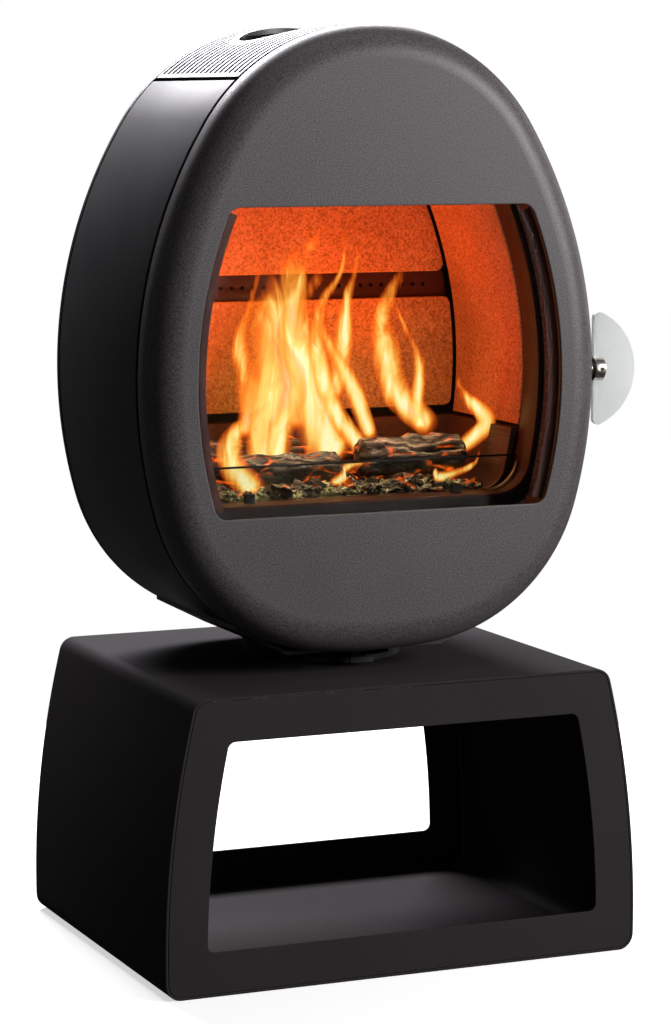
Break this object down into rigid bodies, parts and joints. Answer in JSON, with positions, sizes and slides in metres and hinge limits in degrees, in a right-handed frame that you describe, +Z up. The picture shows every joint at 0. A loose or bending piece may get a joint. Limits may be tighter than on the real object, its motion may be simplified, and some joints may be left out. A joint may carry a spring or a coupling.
{
  "type": "wood burning stove",
  "caption": "Oval wood burning stove on a log store pedestal, with a hinged glazed door, half-moon handle, top grille and flue socket.",
  "frame": {"origin": "centre of the pedestal's underside, on the floor", "axes": "+X towards the door handle's side, -Y towards the front, +Z up"},
  "size_m": [0.6015, 0.44, 1.029],
  "materials": {
    "pedestal_paint": "satin",
    "casing_paint": "satin",
    "cast_paint": "matte",
    "dark_steel": "matte",
    "hot_steel": "matte",
    "tray_iron": "matte",
    "bare_steel": "satin",
    "refractory": "matte",
    "clear_glass": "gloss",
    "guard_glass": "gloss",
    "frosted_glass": "satin",
    "rope": "matte",
    "ash": "matte",
    "charred_wood": "matte"
  },
  "bodies": {
    "stove": {"pedestal_wrap": "pedestal_paint", "pedestal_front_panel": "pedestal_paint", "pedestal_rear_panel": "pedestal_paint", "panel_tabs": "pedestal_paint", "neck_flange": "dark_steel", "neck_tube": "dark_steel", "neck_bolts": "dark_steel", "valve_seat": "dark_steel", "valve_pin": "bare_steel", "side_wrap_left": "casing_paint", "side_wrap_right": "casing_paint", "top_grille": "cast_paint", "bottom_grille": "cast_paint", "rear_cover": "casing_paint", "rear_cover_screws": "bare_steel", "cover_posts": "bare_steel", "heat_shield": "bare_steel", "shield_spacers": "bare_steel", "firebox_shell": "dark_steel", "firebox_back": "dark_steel", "front_frame": "dark_steel", "throat_liner": "hot_steel", "hearth_tray": "tray_iron", "grate": "tray_iron", "ash_pan": "dark_steel", "side_brick_left": "refractory", "side_brick_right": "refractory", "back_brick_lower": "refractory", "back_brick_upper": "refractory", "air_bar": "hot_steel", "brick_clips": "dark_steel", "baffle_brick": "refractory", "smoke_deflector": "hot_steel", "deflector_rails": "dark_steel", "flue_socket": "cast_paint", "flue_bolts": "bare_steel", "ember_guard": "guard_glass", "guard_feet": "dark_steel", "ash_bed": "ash", "logs": "charred_wood", "hinge_arms": "bare_steel", "catch_bracket": "bare_steel", "catch_pin": "bare_steel"},
    "door": {"door_shell": "casing_paint", "door_glass": "clear_glass", "glass_seal": "rope", "door_frame": "hot_steel", "frame_bosses": "dark_steel", "frame_screws": "bare_steel", "door_seal": "rope", "door_lugs": "dark_steel", "hinge_pins": "bare_steel", "handle_bush": "bare_steel"},
    "handle": {"handle_shaft": "bare_steel", "handle_grip": "frosted_glass", "grip_screw": "bare_steel", "latch_hook": "bare_steel", "shaft_nut": "bare_steel"},
    "air_valve": {"air_damper": "dark_steel", "air_knob": "dark_steel"}
  },
  "joints": [
    {"name": "door_open", "type": "hinge", "parent": "stove", "child": "door", "pos_m": [-0.252, -0.124, 0.6437], "axis": [0, 0, -1], "range_deg": [0, 95]},
    {"name": "handle_turn", "type": "hinge", "parent": "door", "child": "handle", "pos_m": [0.26, -0.128, 0.6475], "axis": [1, 0, 0], "range_deg": [0, 40]},
    {"name": "air_lever_turn", "type": "hinge", "parent": "stove", "child": "air_valve", "pos_m": [0, 0.02, 0.331], "axis": [0, 0, 1], "range_deg": [-25, 25]}
  ]
}
